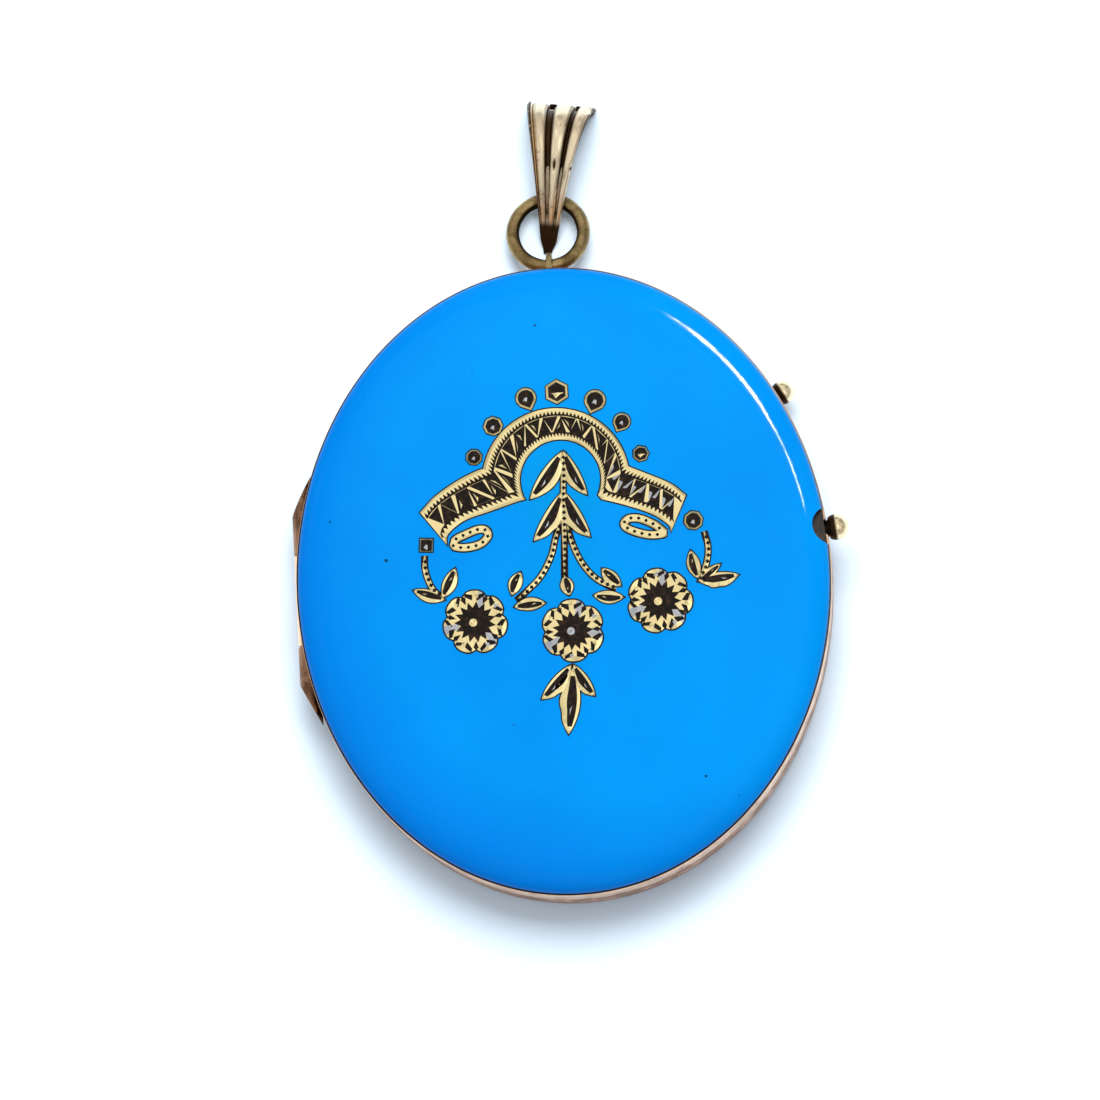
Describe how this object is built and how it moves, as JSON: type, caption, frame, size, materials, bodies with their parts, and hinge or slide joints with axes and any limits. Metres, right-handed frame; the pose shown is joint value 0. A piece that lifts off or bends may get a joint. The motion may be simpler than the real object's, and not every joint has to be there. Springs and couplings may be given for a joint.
{
  "type": "oval picture locket",
  "caption": "Oval picture locket with a hinged enamelled cover, inlaid engraved gold ornament, framed picture wells, thumb knobs, jump ring and fluted bail.",
  "frame": {"origin": "centre of the flat back, on the surface that the locket lies on", "axes": "+Z out of the enamelled face, +Y to the bail, -X to the hinge and +X to the thumb knobs"},
  "size_m": [0.0288, 0.0426, 0.0054],
  "materials": {
    "case_gold": "polished gold-filled, worn to a reddish tone at the edges",
    "frame_gold": "bright polished gold-filled",
    "polished_gold": "polished pale gold",
    "bronze_gold": "dull, toned to an olive bronze",
    "engraved_gold": "bright-cut engraved, blackened in the cuts",
    "blue_enamel": "glossy turquoise-blue vitreous enamel",
    "crystal": "clear flat crystal",
    "card": "plain aged card"
  },
  "bodies": {
    "root": {"back_shell": "case_gold", "back_snap_rim": "case_gold", "back_frame": "frame_gold", "back_crystal": "crystal", "back_picture_card": "card", "back_packing_card": "card", "back_hinge_knuckles": "case_gold", "hinge_pin": "bronze_gold", "back_thumb_knob": "polished_gold", "bail_eye": "case_gold"},
    "cover": {"front_shell": "case_gold", "front_enamel": "blue_enamel", "front_frame": "frame_gold", "front_crystal": "crystal", "front_picture_card": "card", "front_hinge_knuckle": "case_gold", "front_thumb_knob": "polished_gold", "ribbon_arch": "engraved_gold", "ribbon_curl_left": "engraved_gold", "ribbon_curl_right": "engraved_gold", "crown_beads": "engraved_gold", "end_beads": "engraved_gold", "top_spray": "engraved_gold", "left_festoon": "engraved_gold", "right_festoon": "engraved_gold", "left_leaves": "engraved_gold", "right_leaves": "engraved_gold", "flower_left": "engraved_gold", "flower_centre": "engraved_gold", "flower_right": "engraved_gold", "drop_spray": "engraved_gold"},
    "ring": {"jump_ring": "bronze_gold"},
    "bail": {"bail": "polished_gold"}
  },
  "joints": [
    {"name": "cover_hinge", "type": "hinge", "parent": "root", "child": "cover", "pos_m": [-0.01345, 0, 0.0027], "axis": [0, -1, 0], "range_deg": [0, 105]},
    {"name": "ring_swing", "type": "hinge", "parent": "root", "child": "ring", "pos_m": [0, 0.01714, 0.0014], "axis": [1, 0, 0], "range_deg": [-60, 60]},
    {"name": "bail_swing", "type": "hinge", "parent": "ring", "child": "bail", "pos_m": [0.00028, 0.02079, 0.00082], "axis": [0.9882, -0.153, 0], "range_deg": [-45, 30]}
  ]
}
